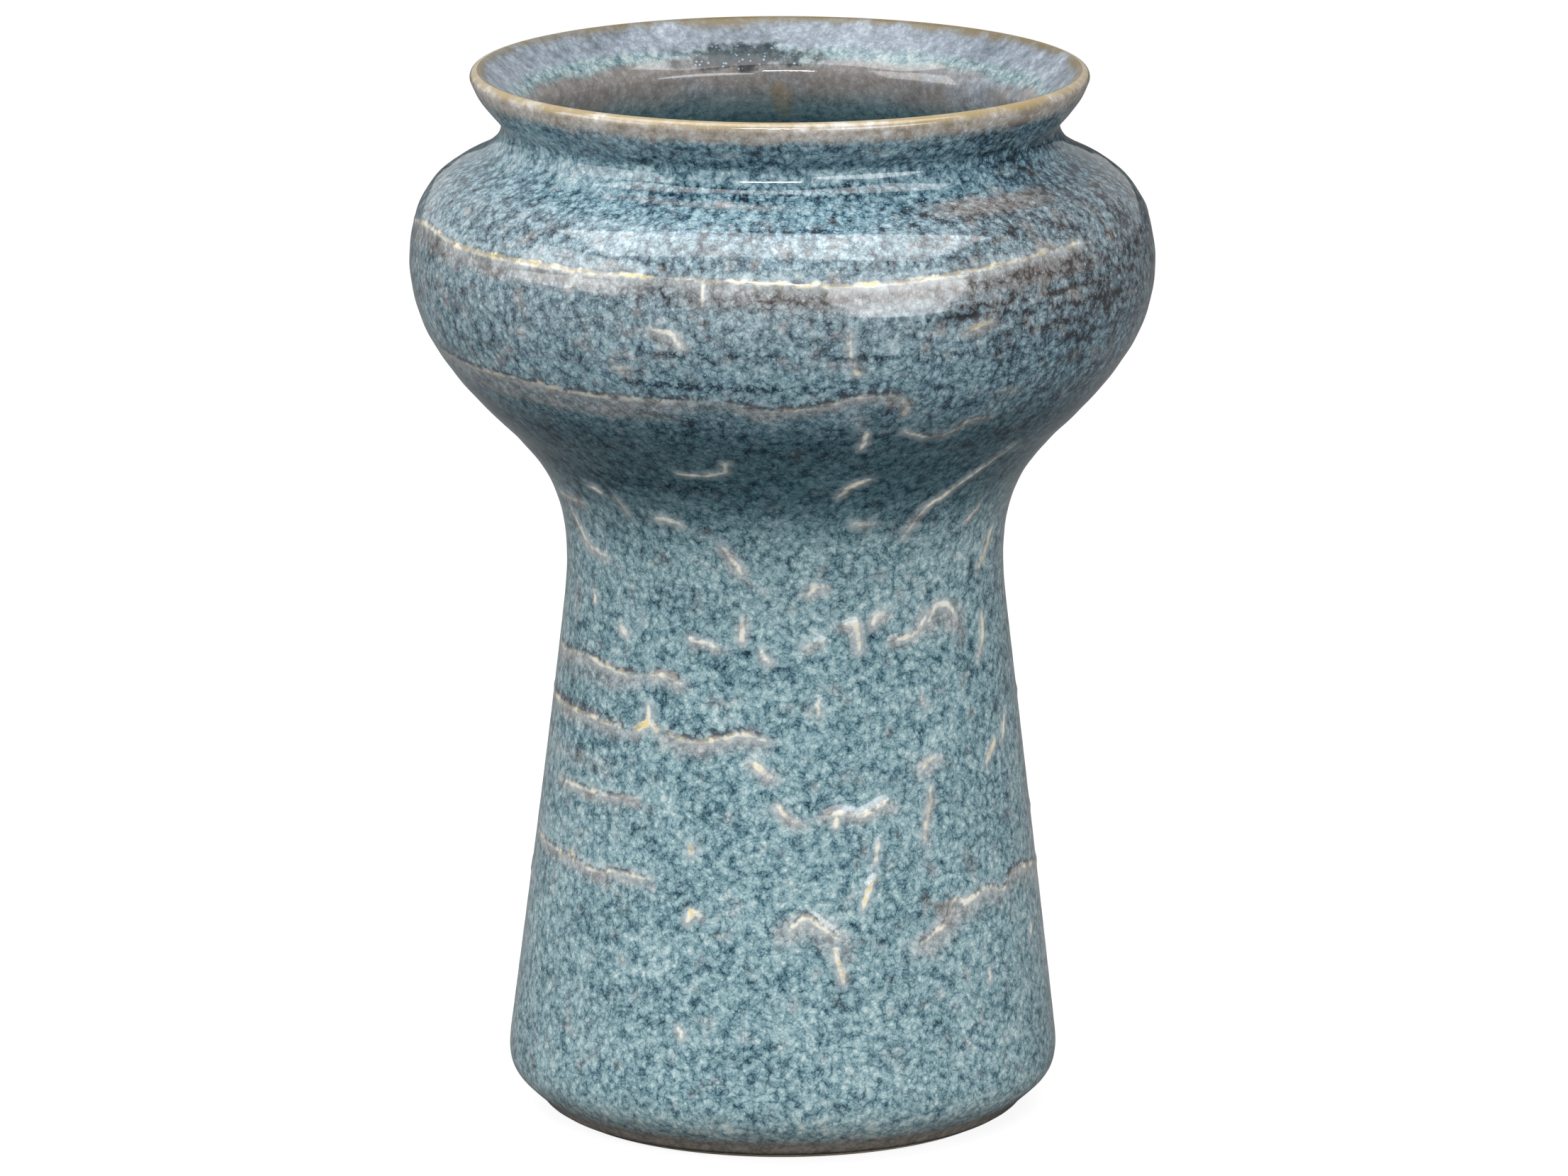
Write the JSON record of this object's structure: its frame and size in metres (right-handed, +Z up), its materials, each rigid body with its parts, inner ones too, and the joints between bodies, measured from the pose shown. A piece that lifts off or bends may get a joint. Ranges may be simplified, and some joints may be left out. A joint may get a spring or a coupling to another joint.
{
  "type": "flower vase",
  "caption": "Free-standing flower vase in glazed stoneware: a flared stem under a wide round-shouldered bowl, a short neck and a turned-out lip, with a bare turned foot.",
  "frame": {"origin": "centre of the foot ring, on the plane the vase stands on", "axes": "+Z up along the axis of the vase, out of the mouth; -Y towards the side taken as the front"},
  "size_m": [0.1546, 0.1546, 0.22],
  "materials": {
    "fired_clay": "matt unglazed stoneware, turned",
    "outer_glaze": "glossy flowing reaction glaze in teal and slate blue cells, with cream and ochre ridges",
    "liner_glaze": "glossy grey-brown glaze with blue pools"
  },
  "bodies": {
    "root": {"stoneware_body": "fired_clay", "outer_glaze": "outer_glaze", "liner_glaze": "liner_glaze"}
  },
  "joints": []
}
